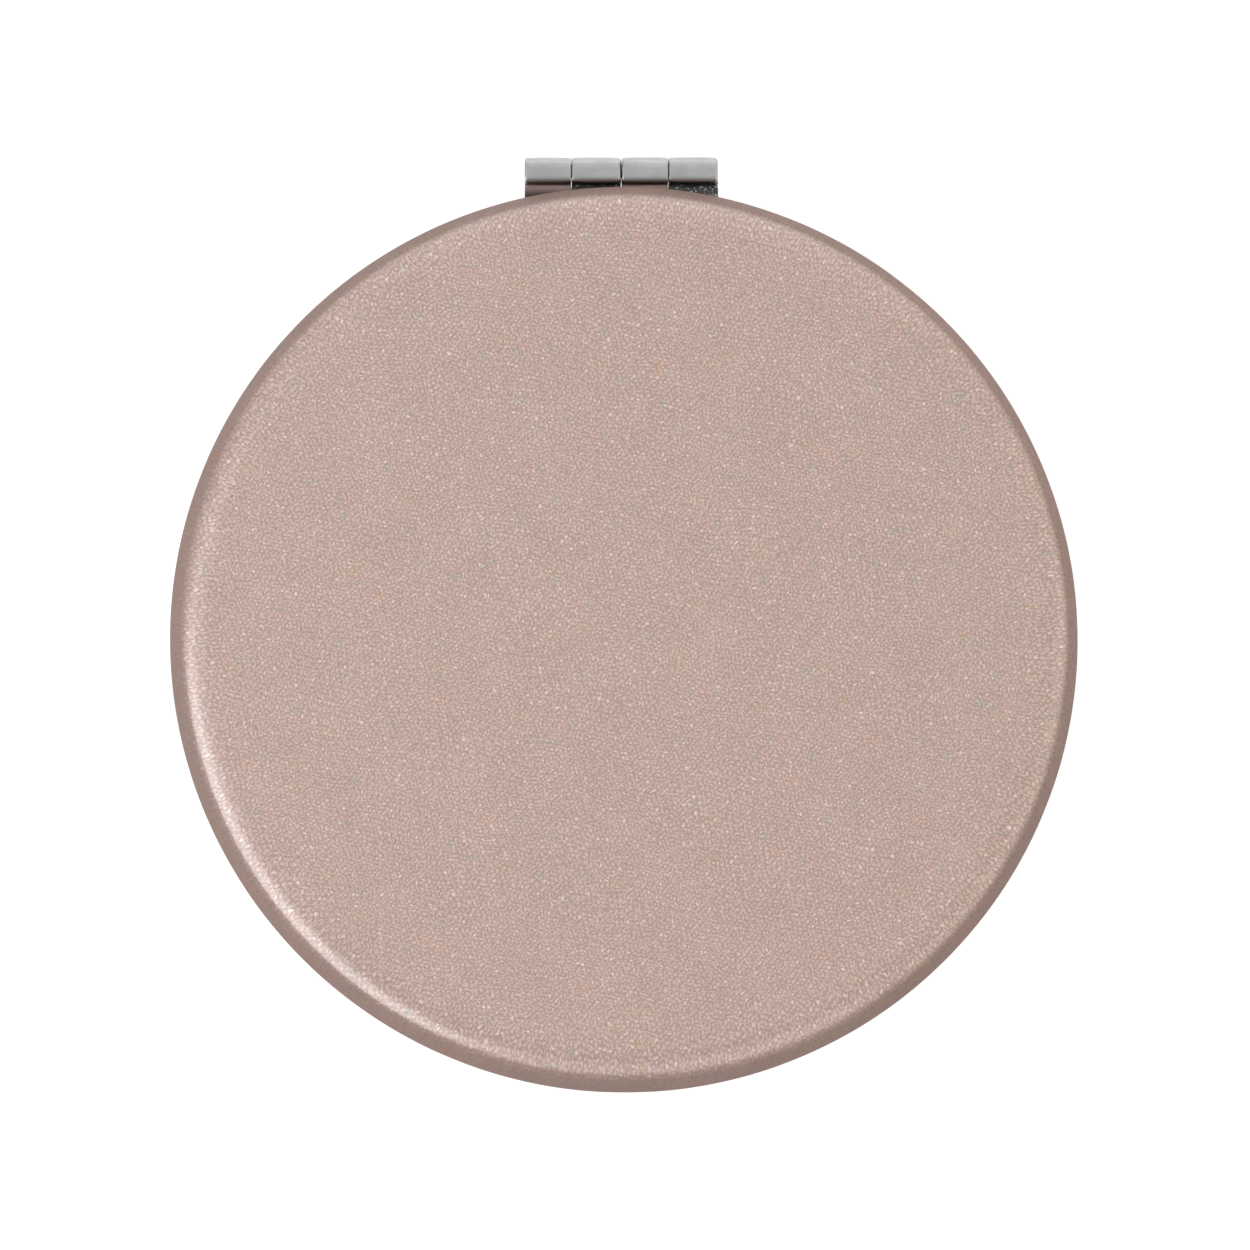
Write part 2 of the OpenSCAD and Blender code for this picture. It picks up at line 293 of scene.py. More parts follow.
steelFinish = {
    "colour": (0.505, 0.515, 0.52),
    "dull": (0.455, 0.465, 0.465),
    "clouds": (700.0, 4.0, 0.6), "dullRange": (0.35, 0.7),
    "roughness": 0.29, "roughRange": (0.3, 0.7), "smoother": 0.04, "rougher": 0.06,
    "lineLong": 5.0, "lineWide": 0.23, "lines": (1.0, 3.0, 0.6),
    "lineDepth": 0.0010,        # mm, left by rolling the sheet
    "relief": 0.6,
}

# painted shade on the leaves between the barrels and the leather: a brown painted reflection of the leather
# that darkens to painted shadow towards the disc, and dark painted shade with light flecks where the sheet is
# cut for the other leaf's knuckles; the leaves are rougher there too; in mm
leafShadeFinish = {
    "shade": (0.26, 0.185, 0.165),
    "discShade": (0.045, 0.030, 0.027), "discShadeRange": (34.55, 35.15),
    "slotShade": (0.030, 0.027, 0.026),
    "lightFlecks": (0.55, 0.54, 0.53), "fleckNoise": (3600.0, 3.0, 0.7), "fleckRange": (0.56, 0.66),
    "endRange": (35.36, 35.46),        # along Y, where the painted shade ends
    "meetRange": (0.06, 0.12),        # from the parting plane, where the leaves' meeting faces get no painted shade
    "slotRange": (35.05, 35.13),        # along Y, the slots' edge, which gets it
    "firstKnuckle": -7.51, "knucklePitch": 7.54,   # along X
    "ownShare": 0.480, "ownBlur": 0.01,        # the part of a pitch under the lid's knuckle
    "cover": 0.92, "rougher": 0.12,
}


def paintLeafShade(tree, place, colour, roughness, leafShade):
    x, y, z = axesOf(tree, place)

    def across(value, limits, *ends):
        return rampBetween(tree, value, *(v * mm for v in leafShade[limits]), *ends)

    away = mathNode(tree, "ABSOLUTE", minus(tree, z, caseSizes["axisZ"] * mm))
    clear = mathNode(tree, "MAXIMUM", across(away, "meetRange"), across(y, "slotRange"))
    inside = times(tree, across(y, "endRange", 1.0, 0.0), clear)
    turn = mathNode(tree, "DIVIDE", minus(tree, x, leafShade["firstKnuckle"] * mm), leafShade["knucklePitch"] * mm)
    cut = rampBetween(tree, mathNode(tree, "FRACT", turn), leafShade["ownShare"] - leafShade["ownBlur"],
                      leafShade["ownShare"] + leafShade["ownBlur"])
    flecking = rampBetween(tree, noiseNode(tree, place, *leafShade["fleckNoise"]), *leafShade["fleckRange"])
    # painted shadow, darker towards the disc
    discShade = across(y, "discShadeRange")
    # under the lid's knuckles a brown painted reflection darkening to painted shadow, under the base's dark
    # painted shade with light flecks
    tone = mixColours(tree, cut, mixColours(tree, discShade, leafShade["discShade"], leafShade["shade"]),
                      mixColours(tree, flecking, leafShade["slotShade"], leafShade["lightFlecks"]))
    return (mixColours(tree, times(tree, inside, leafShade["cover"]), colour, tone),
            plus(tree, roughness, times(tree, inside, leafShade["rougher"])))


def makePlatedSteel(name, finish, along=(1, 0, 0), leafShade=None):
    material, tree = startMaterial(name)
    place = pieceSpace(tree)
    squeeze = tuple((finish["lineLong"] if a else finish["lineWide"]) * mm for a in along)
    lines = addNode(tree, "ShaderNodeMapping", {"vector_type": "TEXTURE"}, Vector=place, Scale=squeeze)
    drawn = noiseNode(tree, lines.outputs[0], *finish["lines"])
    cloudy = noiseNode(tree, place, *finish["clouds"])
    dulled = rampBetween(tree, cloudy, *finish["dullRange"])
    colour = mixColours(tree, dulled, finish["colour"], finish["dull"])
    roughness = rampBetween(tree, cloudy, *finish["roughRange"], finish["roughness"] - finish["smoother"],
                            finish["roughness"] + finish["rougher"])
    if leafShade:
        colour, roughness = paintLeafShade(tree, place, colour, roughness, leafShade)
    finishMaterial(tree, Base_Color=colour, Metallic=1.0, Roughness=roughness,
                   Normal=bumpOf(tree, drawn, finish["lineDepth"], finish["relief"]))
    return material


chromeFinish = {
    "colour": (0.80, 0.805, 0.81), "hazy": (0.74, 0.745, 0.75),
    "haze": (260.0, 4.0, 0.6), "hazeRange": (0.4, 0.8),
    "roughness": (0.075, 0.165), "roughRange": (0.35, 0.75),
    "lines": (9000.0, 3.0, 0.6), "lineDepth": 0.0006,   # mm, from polishing, round the ring
    "relief": 0.5,
}


def makeFrameChrome(finish):
    material, tree = startMaterial("frameChrome")
    place = pieceSpace(tree)
    x, y, z = axesOf(tree, place)
    radius = mathNode(tree, "SQRT", plus(tree, times(tree, x, x), times(tree, y, y)))
    lines = noiseNode(tree, addNode(tree, "ShaderNodeCombineXYZ", X=radius, Y=z).outputs[0], *finish["lines"])
    haze = noiseNode(tree, place, *finish["haze"])
    colour = mixColours(tree, rampBetween(tree, haze, *finish["hazeRange"]), finish["colour"], finish["hazy"])
    finishMaterial(tree, Base_Color=colour, Metallic=1.0,
                   Roughness=rampBetween(tree, haze, *finish["roughRange"], *finish["roughness"]),
                   Normal=bumpOf(tree, lines, finish["lineDepth"], finish["relief"]))
    return material


glassFinish = {
    "colour": (0.90, 0.915, 0.91), "hazy": (0.86, 0.87, 0.87),
    "smudges": (90.0, 5.0, 0.65, 0.8), "smudgeRange": (0.45, 0.8),
    "wipeTurn": 0.6, "wipeSize": (0.02, 0.0006, 0.02),   # radians and m
    "streaks": (1.0, 3.0), "streakRange": (0.3, 0.8),
    "hazeRange": (0.0, 0.6), "roughness": (0.012, 0.06),
    "gloss": 0.5, "glossRough": 0.02,
}


def makeMirrorGlass(finish):
    material, tree = startMaterial("mirrorGlass")
    place = pieceSpace(tree)
    smudges = rampBetween(tree, noiseNode(tree, place, *finish["smudges"]), *finish["smudgeRange"])
    wiped = addNode(tree, "ShaderNodeMapping", {"vector_type": "TEXTURE"}, Vector=place,
                    Rotation=(0, 0, finish["wipeTurn"]), Scale=finish["wipeSize"])
    streaks = rampBetween(tree, noiseNode(tree, wiped.outputs[0], *finish["streaks"]), *finish["streakRange"])
    haze = times(tree, smudges, streaks)
    finishMaterial(tree, Metallic=1.0,
                   Base_Color=mixColours(tree, haze, finish["colour"], finish["hazy"]),
                   Roughness=rampBetween(tree, haze, *finish["hazeRange"], *finish["roughness"]),
                   Coat_Weight=finish["gloss"], Coat_Roughness=finish["glossRough"])
    return material


# painted shade: the foam's pores darker
foamFinish = {"poreShade": 0.7, "poreRange": (0.1, 0.6), "relief": 0.8, "roughness": 0.9}


def makeFoam(name, colour, cells, depth, finish=foamFinish):
    material, tree = startMaterial(name)
    holes = addNode(tree, "ShaderNodeTexVoronoi", {"feature": "SMOOTH_F1"}, Vector=pieceSpace(tree),
                    Scale=cells, Randomness=1.0).outputs["Distance"]
    # painted shade in the pores
    tone = mixColours(tree, rampBetween(tree, holes, *finish["poreRange"]),
                      tuple(c * finish["poreShade"] for c in colour), colour)
    finishMaterial(tree, Base_Color=tone, Roughness=finish["roughness"],
                   Normal=bumpOf(tree, holes, depth, finish["relief"]))
    return material


plasticFinish = {
    "dark": (0.030, 0.030, 0.032), "light": (0.044, 0.044, 0.047),
    "flow": (60.0, 2.0), "spark": (5200.0, 4.0, 0.7), "sparkRange": (0.3, 0.7),
    "roughness": (0.42, 0.6),
    "relief": 0.5, "sparkDepth": 0.008,      # mm, from the mould's spark-eroded face
}


def makeShellPlastic(finish):
    material, tree = startMaterial("shellPlastic")
    place = pieceSpace(tree)
    spark = noiseNode(tree, place, *finish["spark"])
    tone = mixColours(tree, noiseNode(tree, place, *finish["flow"]), finish["dark"], finish["light"])
    finishMaterial(tree, Base_Color=tone,
                   Roughness=rampBetween(tree, spark, *finish["sparkRange"], *finish["roughness"]),
                   Normal=bumpOf(tree, spark, finish["sparkDepth"], finish["relief"]))
    return material


pearlLeather = makePearlLeather(leatherFinish)
hingeSteel = makePlatedSteel("hingeSteel", steelFinish, leafShade=leafShadeFinish)
pinTones = {"colour": (0.22, 0.22, 0.22), "dull": (0.16, 0.155, 0.15)}
pinSteel = makePlatedSteel("pinSteel", {**steelFinish, **pinTones})
rivetSteel = makePlatedSteel("rivetSteel", {**steelFinish, "roughness": 0.3}, along=(0, 0, 1))
magnetPlating = makePlatedSteel("magnetPlating", {**steelFinish, "roughness": 0.35})
frameChrome = makeFrameChrome(chromeFinish)
mirrorGlass = makeMirrorGlass(glassFinish)
paddingFoam = makeFoam("paddingFoam", (0.80, 0.78, 0.72), cells=5500.0, depth=0.06)
mirrorTape = makeFoam("mirrorTape", (0.74, 0.74, 0.72), cells=9000.0, depth=0.03)
shellPlastic = makeShellPlastic(plasticFinish)
print("materials made")


# Node trees

seamReach = 0.0005        # mm, points of a turned profile nearer than this are one


def newTree(name, **kinds):
    tree = bpy.data.node_groups.new(name, "GeometryNodeTree")
    for label, kind in kinds.items():
        tree.interface.new_socket(name=label, in_out="INPUT", socket_type="NodeSocket" + kind)
    tree.interface.new_socket(name="Geometry", in_out="OUTPUT", socket_type="NodeSocketGeometry")
    return tree, tree.nodes.new("NodeGroupInput").outputs


def endTree(tree, given, geometry):
    whole = addNode(tree, "GeometryNodeRealizeInstances", Geometry=geometry)
    painted = addNode(tree, "GeometryNodeSetMaterial", Geometry=whole.outputs[0], Material=given["Material"])
    addNode(tree, "NodeGroupOutput", Geometry=painted.outputs[0])


def named(tree, label):
    return addNode(tree, "GeometryNodeInputNamedAttribute", Name=label).outputs["Attribute"]


def makeTurnedTree():
    # turns a profile (x = radius - 1 mm, y = minus height) about Z, and lets the skin wander a little
    tree, given = newTree("turnedPart", Profile="Geometry", Segments="Int", Wander="Float",
                          WanderScale="Float", Seed="Float", Material="Material")
    profile = addNode(tree, "GeometryNodeMeshToCurve", Mesh=given["Profile"])
    path = addNode(tree, "GeometryNodeCurvePrimitiveCircle", Resolution=given["Segments"], Radius=mm)
    skin = addNode(tree, "GeometryNodeCurveToMesh", Curve=path.outputs["Curve"],
                   Profile_Curve=profile.outputs[0])
    skin = addNode(tree, "GeometryNodeMergeByDistance", Geometry=skin.outputs[0], Distance=seamReach * mm)

    place = addNode(tree, "GeometryNodeInputPosition").outputs[0]
    outward = vectorNode(tree, "NORMALIZE", vectorNode(tree, "MULTIPLY", place, (1, 1, 0)))
    lift = addNode(tree, "ShaderNodeCombineXYZ", Z=named(tree, "creaseUp")).outputs[0]
    hide = vectorNode(tree, "SCALE", outward, named(tree, "hideOut"))
    crease = vectorNode(tree, "ADD", vectorNode(tree, "SCALE", outward, named(tree, "creaseOut")), lift)
    for label, value in (("hideSpace", hide), ("creaseSpace", crease)):
        skin = addNode(tree, "GeometryNodeStoreNamedAttribute", {"data_type": "FLOAT_VECTOR"},
                       Geometry=skin.outputs[0], Name=label, Value=value)

    noise = addNode(tree, "ShaderNodeTexNoise", {"noise_dimensions": "4D"}, Vector=place, W=given["Seed"],
                    Scale=given["WanderScale"], Detail=1.0).outputs["Fac"]
    amount = times(tree, named(tree, "wanderShare"), given["Wander"])
    size = times(tree, minus(tree, noise, 0.5), amount)
    normal = addNode(tree, "GeometryNodeInputNormal").outputs[0]
    moved = addNode(tree, "GeometryNodeSetPosition", Geometry=skin.outputs[0],
                    Offset=vectorNode(tree, "SCALE", normal, size))
    endTree(tree, given, moved.outputs[0])
    return tree


def makeRowTree():
    # repeats the piece along a straight line
    tree, given = newTree("rowOfCopies", Piece="Geometry", Count="Int", Start="Vector", Step="Vector",
                          Material="Material")
    line = addNode(tree, "GeometryNodeMeshLine", {"mode": "OFFSET"}, Count=given["Count"],
                   Start_Location=given["Start"], Offset=given["Step"])
    copies = addNode(tree, "GeometryNodeInstanceOnPoints", Points=line.outputs[0], Instance=given["Piece"])
    endTree(tree, given, copies.outputs[0])
    return tree


turnedTree = makeTurnedTree()
rowTree = makeRowTree()


def runTree(piece, tree, **values):
    modifier = piece.modifiers.new(tree.name, "NODES")
    modifier.node_group = tree
    for item in tree.interface.items_tree:
        if item.in_out == "INPUT" and item.name in values:
            modifier[item.identifier] = values[item.name]
    keepResult(piece)


def keepResult(piece):
    # the evaluated mesh becomes the piece's own, and its modifiers go
    graph = bpy.context.evaluated_depsgraph_get()
    made = bpy.data.meshes.new_from_object(piece.evaluated_get(graph), preserve_all_data_layers=True,
                                           depsgraph=graph)
    old = piece.data
    piece.modifiers.clear()
    piece.data = made
    made.name = piece.name
    bpy.data.meshes.remove(old)


# Mesh helpers

weldReach = 0.0002        # mm, points nearer than this are one


def toMesh(name, work):
    mesh = bpy.data.meshes.new(name)
    work.to_mesh(mesh)
    work.free()
    return mesh


def skinRows(work, rows):
    # faces from each row of corners to the next
    for near, far in zip(rows, rows[1:]):
        for i in range(len(near)):
            j = (i + 1) % len(near)
            work.faces.new((near[i], near[j], far[j], far[i]))


def tidyNormals(piece, sharpAngle):
    work = bmesh.new()
    work.from_mesh(piece.data)
    bmesh.ops.remove_doubles(work, verts=work.verts, dist=weldReach * mm)
    bmesh.ops.recalc_face_normals(work, faces=work.faces)
    work.to_mesh(piece.data)
    work.free()
    piece.data.polygons.foreach_set("use_smooth", [True] * len(piece.data.polygons))
    piece.data.set_sharp_from_angle(angle=math.radians(sharpAngle))


def arc(centre, radius, start, end, steps):
    # (radius, height) points, with angles in degrees from straight up towards the outside
    points = []
    for i in range(steps + 1):
        a = math.radians(start + (end - start) * i / steps)
        points.append((centre[0] + radius * math.sin(a), centre[1] + radius * math.cos(a)))
    return points


def linePoints(start, end, steps):
    return [(start[0] + (end[0] - start[0]) * i / steps, start[1] + (end[1] - start[1]) * i / steps)
            for i in range(steps + 1)]


def circleEdge(radius, end, steps):
    # (x, y) points on a circle about the middle of the case, from x = -end to x = end
    reach = math.asin(end / radius)
    angles = [-reach + 2 * reach * i / steps for i in range(steps + 1)]
    return [(radius * math.sin(a), radius * math.cos(a)) for a in angles]


def dropRepeats(points):
    kept = [points[0]]
    for p in points[1:]:
        if math.hypot(p[0] - kept[-1][0], p[1] - kept[-1][1]) > 1e-6:
            kept.append(p)
    return kept


profileLabels = ("hideOut", "creaseOut", "creaseUp", "wallShare", "creaseShare", "wanderShare")


def turnProfile(name, points, material, loop=False, segments=256, attributes=None, wander=0.0,
                wanderScale=60.0, seed=1.0, sharpAngle=40):
    # points are in mm; the profile is turned about Z and comes back as a closed mesh
    mesh = bpy.data.meshes.new(name)
    edges = [(i, i + 1) for i in range(len(points) - 1)] + ([(len(points) - 1, 0)] if loop else [])
    mesh.from_pydata([((r - 1) * mm, -w * mm, 0) for r, w in points], edges, [])
    for label in profileLabels:
        values = (attributes or {}).get(label, [0.0] * len(points))
        mesh.attributes.new(label, "FLOAT", "POINT").data.foreach_set("value", values)
    piece = linkPiece(name, mesh)
    runTree(piece, turnedTree, Segments=segments, Wander=wander * mm, WanderScale=wanderScale, Seed=seed,
            Material=material)
    tidyNormals(piece, sharpAngle)
    return piece


def handOver(piece, half, node):
    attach(piece, half)
    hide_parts(node)
    print(piece.name, "faces:", len(piece.data.polygons))


def finishHalf(piece, half, node):
    # first from a height above the half's own parting face to its place in the closed case
    place = Matrix.Translation((0, 0, caseSizes[half + "Z"] * mm))
    if half == "lid":
        piece.data.transform(place)
    else:
        piece.data.transform(place @ Matrix.Scale(-1, 4, (0, 0, 1)))
        piece.data.flip_normals()
    handOver(piece, half, half + node)


# Leather covers, in mm

coverMake = {
    "segments": 512, "sharpAngle": 60,
    "stretch": 1.7,        # of the grain, where the hide goes over the crown
    "stretchFrom": 30.5, "stretchTo": 33.4,
    "wander": 0.035,        # the hide isn't laid perfectly even
    "wanderScale": 190.0,    # per m
    "wanderFrom": 29, "wanderTo": 33, "wanderLeast": 0.3,
    "pressedBelow": 0.6,     # no wander where the ring presses the hide on the rim
    "faceAbove": 3,        # all of the hide below this height is side wall
    "wallFrom": 33.38, "wallTo": 34.26,
    "crownFrom": 31.6, "crownTo": 33.9,
    "creaseRound": 34.0,     # the radius at which the creases have their own pitch
    "creaseSqueeze": 0.12, "creaseStart": 3.7, "creaseEnd": 2.7, "wallCreases": 0.3,
    "flatTo": 30.0, "bendFrom": 30.4, "bendTo": 31.5,
    "cutEdge": 0.12, "cutBack": 0.1,       # the hide's cut edge, which is a little slanted
    "innerFlat": 16,
}


def coverProfile(sizes, make):
    t = sizes["leather"]
    top, wall = sizes["halfHeight"], sizes["wallTurn"]
    outer = linePoints((0, top), (make["flatTo"], top), 12)
    outer += linePoints((make["bendFrom"], top), (make["bendTo"], top), 3)
    outer += arc(sizes["crown"], sizes["crownRadius"] + t, 0, sizes["crownTurn"], 18)
    outer += arc(sizes["edge"], sizes["edgeRadius"] + t, sizes["crownTurn"], wall, 10)
    rim = arc(sizes["rim"], sizes["rimRadius"] + t, wall, 180, 18)
    outer += linePoints(outer[-1], rim[0], 6) + rim
    outer += linePoints(outer[-1], (sizes["turnRadius"] + make["cutBack"], sizes["seat"]), 4)
    inner = [(sizes["turnRadius"], sizes["seat"] + make["cutEdge"]), (sizes["turnRadius"], sizes["seat"] + t)]
    inner += arc(sizes["rim"], sizes["rimRadius"], 180, wall, 12)
    inner += arc(sizes["edge"], sizes["edgeRadius"], wall, sizes["crownTurn"], 4)
    inner += arc(sizes["crown"], sizes["crownRadius"], sizes["crownTurn"], 0, 8)
    inner += [(make["innerFlat"], top - t), (0, top - t)]
    return dropRepeats(outer), dropRepeats(inner)


def ease(value, low, high):
    t = min(1.0, max(0.0, (value - low) / (high - low)))
    return t * t * (3 - 2 * t)


def coverAttributes(outer, inner, make):
    # the hide's own space, unrolled from the middle of the face, and how it is creased
    values = {label: [] for label in profileLabels}
    out, along = 0.0, 0.0
    before = outer[0]
    for number, (r, w) in enumerate(outer + inner):
        step = math.hypot(r - before[0], w - before[1])
        out += step / (1 + (make["stretch"] - 1) * ease(r, make["stretchFrom"], make["stretchTo"]))
        along += step
        before = (r, w)
        onFace = w > make["faceAbove"]
        values["hideOut"].append(out)
        values["creaseOut"].append(make["creaseRound"] if r > 1 else 0.0)
        values["creaseUp"].append(along * make["creaseSqueeze"])
        values["wallShare"].append(ease(r, make["wallFrom"], make["wallTo"]) if onFace else 1.0)
        crown = ease(r, make["crownFrom"], make["crownTo"]) if onFace else 1.0
        down = ease(w, make["creaseEnd"], make["creaseStart"])      # the creases fade down the side wall
        values["creaseShare"].append(crown * (make["wallCreases"] + (1 - make["wallCreases"]) * down))
        held = number >= len(outer) or w < make["pressedBelow"]
        least = make["wanderLeast"]
        free = least + (1 - least) * ease(r, make["wanderFrom"], make["wanderTo"])
        values["wanderShare"].append(0.0 if held else free)
    return values


def makeLeatherCover(half, seed):
    outer, inner = coverProfile(caseSizes, coverMake)
    piece = turnProfile(half + "Leather", outer + inner, pearlLeather, segments=coverMake["segments"],
                        attributes=coverAttributes(outer, inner, coverMake), wander=coverMake["wander"],
                        wanderScale=coverMake["wanderScale"], seed=seed, sharpAngle=coverMake["sharpAngle"])
    finishHalf(piece, half, "_leather_cover")


makeLeatherCover("lid", 3.1)
makeLeatherCover("base", 8.4)


# Frame rings, in mm

ringSizes = {
    "window": 29.0, "bevel": 0.25, "flange": 0.5, "outerEdge": 34.05,
    "soft": 0.05, "softDip": 0.015,    # rounding of the bevel's two corners
    "flatFrom": 30.2, "flatTo": 33.2,
    "bodyInner": 29.9, "bodyOuter": 32.0, "bodyHeight": 2.26, "bead": 0.12, "beadHeight": 1.73,
    "notchHalf": 7.55, "notchRadius": 30.25, "notchSteps": 40,
    "notchOut": 36, "notchAbove": 0.4, "notchBelow": 0.002,    # how far the cut runs past the flange
    "segments": 384, "sharpAngle": 32,
}


def makeFrameRing(half, sizes):
    halfFlange = sizes["flange"] / 2
    window, bevel, flange, bead = sizes["window"], sizes["bevel"], sizes["flange"], sizes["bead"]
    soft, dip = sizes["soft"], sizes["softDip"]
    points = [(window, flange), (window, bevel + soft), (window + dip, bevel), (window + soft, bevel - soft),
              (window + bevel - soft, soft), (window + bevel, dip), (window + bevel + soft, 0)]
    points += linePoints((sizes["flatFrom"], 0), (sizes["flatTo"], 0), 3)
    points += arc((sizes["outerEdge"], halfFlange), halfFlange, 180, 0, 12)
    body, beadUp, high = sizes["bodyOuter"], sizes["beadHeight"], sizes["bodyHeight"]
    points += [(body, flange), (body, beadUp - bead), (body + bead, beadUp), (body, beadUp + bead),
               (body, high), (sizes["bodyInner"], high), (sizes["bodyInner"], flange)]
    ring = turnProfile(half + "Ring", points, frameChrome, loop=True, segments=sizes["segments"],
                       sharpAngle=sizes["sharpAngle"])
    cutNotch(ring, sizes)
    finishHalf(ring, half, "_frame_ring")


def cutNotch(ring, sizes):
    # the flange gives way to the hinge leaf, which lies flush in it
    work = bmesh.new()
    wide, out = sizes["notchHalf"], sizes["notchOut"]
    outline = circleEdge(sizes["notchRadius"], wide, sizes["notchSteps"]) + [(wide, out), (-wide, out)]
    rows = [[work.verts.new((x * mm, y * mm, z * mm)) for x, y in outline]
            for z in (-sizes["notchAbove"], sizes["flange"] + sizes["notchBelow"])]
    for row in rows:
        work.faces.new(row)
    skinRows(work, rows)
    bmesh.ops.recalc_face_normals(work, faces=work.faces)
    combine(ring, linkPiece("notchCutter", toMesh("notchCutter", work)), "DIFFERENCE")
    tidyNormals(ring, sizes["sharpAngle"])


def combine(piece, other, how):
    modifier = piece.modifiers.new("combine", "BOOLEAN")
    modifier.operation = how
    modifier.object = other
    modifier.solver = "EXACT"
    keepResult(piece)
    mesh = other.data
    bpy.data.objects.remove(other)
    bpy.data.meshes.remove(mesh)


makeFrameRing("lid", ringSizes)
makeFrameRing("base", ringSizes)


# Mirrors and the pads behind them, in mm

mirrorSizes = {
    "radius": 29.8, "front": 0.6, "flatThick": 1.5, "curvedThick": 1.3, "curveRadius": 1000,
    "arris": 0.12, "backRing": 15, "sharpAngle": 25,
    "padRadius": 29.6, "floor": 2.76, "padSegments": 160,
    "padDip": 0.02,        # the tapes' squeezed edges
    "padSoft": 0.10, "padRise": 0.06, "padFlat": 0.3,     # the lid's
    "bowlSoft": 0.12, "bowlRise": 0.08, "bowlFlat": 0.4,  # the base's
}


def bowl(sizes, radius, reach, steps=30):
    base = sizes["front"] - math.sqrt(sizes["curveRadius"] ** 2 - sizes["radius"] ** 2)
    return [(reach * i / steps, base + math.sqrt(radius ** 2 - (reach * i / steps) ** 2))
            for i in range(steps + 1)]


def makeMirrors(sizes):
    r, f, a = sizes["radius"], sizes["front"], sizes["arris"]
    back = f + sizes["flatThick"]
    flat = linePoints((0, f), (r - a, f), 6) + [(r, f + a), (r, back - a), (r - a, back),
                                                (sizes["backRing"], back), (0, back)]
    front = bowl(sizes, sizes["curveRadius"], r - a)
    behind = bowl(sizes, sizes["curveRadius"] + sizes["curvedThick"], r - a)
    curved = front + [(r, front[-1][1] + a), (r, behind[-1][1] - a)] + behind[::-1]
    for half, node, points in (("lid", "_mirror", flat), ("base", "_magnifying_mirror", curved)):
        mirror = turnProfile(half + "Mirror", points, mirrorGlass, sharpAngle=sizes["sharpAngle"])
        finishHalf(mirror, half, node)


def makeMirrorPads(sizes):
    # foam tape, squeezed a little rounder at its edge
    p, back, floor = sizes["padRadius"], sizes["front"] + sizes["flatThick"], sizes["floor"]
    dip, low = p - sizes["padDip"], floor - sizes["padRise"]
    flat = linePoints((0, back), (p - sizes["padFlat"], back), 5) + [(p - sizes["padSoft"], back)]
    bent = bowl(sizes, sizes["curveRadius"] + sizes["curvedThick"], p - sizes["bowlSoft"], 16)
    for half, points, edge in (("lid", flat, "pad"), ("base", bent, "bowl")):
        h = points[-1][1]
        points += [(dip, h + sizes[edge + "Rise"]), (p, (h + floor) / 2), (dip, low)]
        points += [(p - sizes[edge + "Soft"], floor)]
        points += linePoints((p - sizes[edge + "Flat"], floor), (0, floor), 5)
        pad = turnProfile(half + "Tape", points, mirrorTape, segments=sizes["padSegments"])
        finishHalf(pad, half, "_mirror_pad")


makeMirrors(mirrorSizes)
makeMirrorPads(mirrorSizes)


# Foam under the leather, in mm

foamSizes = {
    "radius": 31.72, "bottom": 3.76, "top": 4.24, "edgeRound": 0.2,
    "crown": 0.05,        # its face falls this much towards the edge
    "flatTo": 20, "crownPoints": ((26, 0.3), (29.5, 0.7)),     # radius and share of the fall
    "backFlat": 0.4, "segments": 192,
}


def makeFoamPad(half, sizes):
    r, b, t, e = sizes["radius"], sizes["bottom"], sizes["top"], sizes["edgeRound"]
    points = linePoints((0, t), (sizes["flatTo"], t), 6)
    points += [(radius, t - sizes["crown"] * share) for radius, share in sizes["crownPoints"]]
    points += arc((r - e, t - sizes["crown"] - e), e, 10, 90, 5)
    points += arc((r - e, b + e), e, 90, 180, 5)
    points += linePoints((r - e - sizes["backFlat"], b), (0, b), 6)
    pad = turnProfile(half + "Foam", points, paddingFoam, segments=sizes["segments"])
    finishHalf(pad, half, "_foam_pad")


makeFoamPad("lid", foamSizes)
makeFoamPad("base", foamSizes)


# Hinge, in mm

hingeSizes = {
    "axisUp": -0.05,        # the axis, from a half's parting face
    "outer": 1.08, "bore": 0.58, "sheet": 0.5,
    "backSquare": 2.5, "frontSquare": 5.2,   # 2 would be round; pressing the curl leaves it flatter
    "valley": 0.16, "boreRound": 0.04, "seam": 0.1,
    "curlFrom": -20.0, "curlSearch": 0.5,    # degrees, where the curl is looked for at the leaf
    "rootBack": 1.75, "lipBack": 1.0,        # how far the sheet runs back from the axis above and below
    "lidEnds": (0.13, 0.09), "baseEnds": (0.10, 0.26),   # rounding of a knuckle's left and right end
    "barrelCrown": 0.045,        # a knuckle is this much thinner at its ends
    "left": -7.51,        # the first knuckle's end, and the leaf's on both sides
    "lidLength": 3.59, "baseLength": 3.83, "gap": 0.06,
    "slotY": 35.10, "leafRadius": 30.29, "leafSoft": 0.045, "softAngle": 50, "sharpAngle": 34,
    "rivetX": 4.6, "rivetY": 30.803, "rivetHead": 0.65, "rivetShank": 0.35, "rivetLength": 1.6,
    "rivetClear": 0.02, "rivetDome": ((0, 0.045), (0.45, 0.035), (0.8, 0.01)),   # share out, and depth
    "rivetRim": 0.03, "rivetCone": 0.32, "rivetEnd": 0.06, "rivetSharp": 30, "rivetSegments": 48,
    "curlSteps": 72, "boreSteps": 56, "endSteps": 6, "middleSteps": 8, "leafSteps": 48,
}


def pressedRound(angle, sizes):
    # the curl's outside at an angle from straight up: (y, height, lean of its surface)
    s, c = math.sin(math.radians(angle)), math.cos(math.radians(angle))
    power = sizes["frontSquare"] if s < 0 else sizes["backSquare"]
    reach = sizes["outer"] / (abs(s) ** power + abs(c) ** power) ** (1 / power)
    lean = math.degrees(math.atan2(abs(s) ** (power - 1), abs(c) ** (power - 1)))
    return reach * s, reach * c, lean


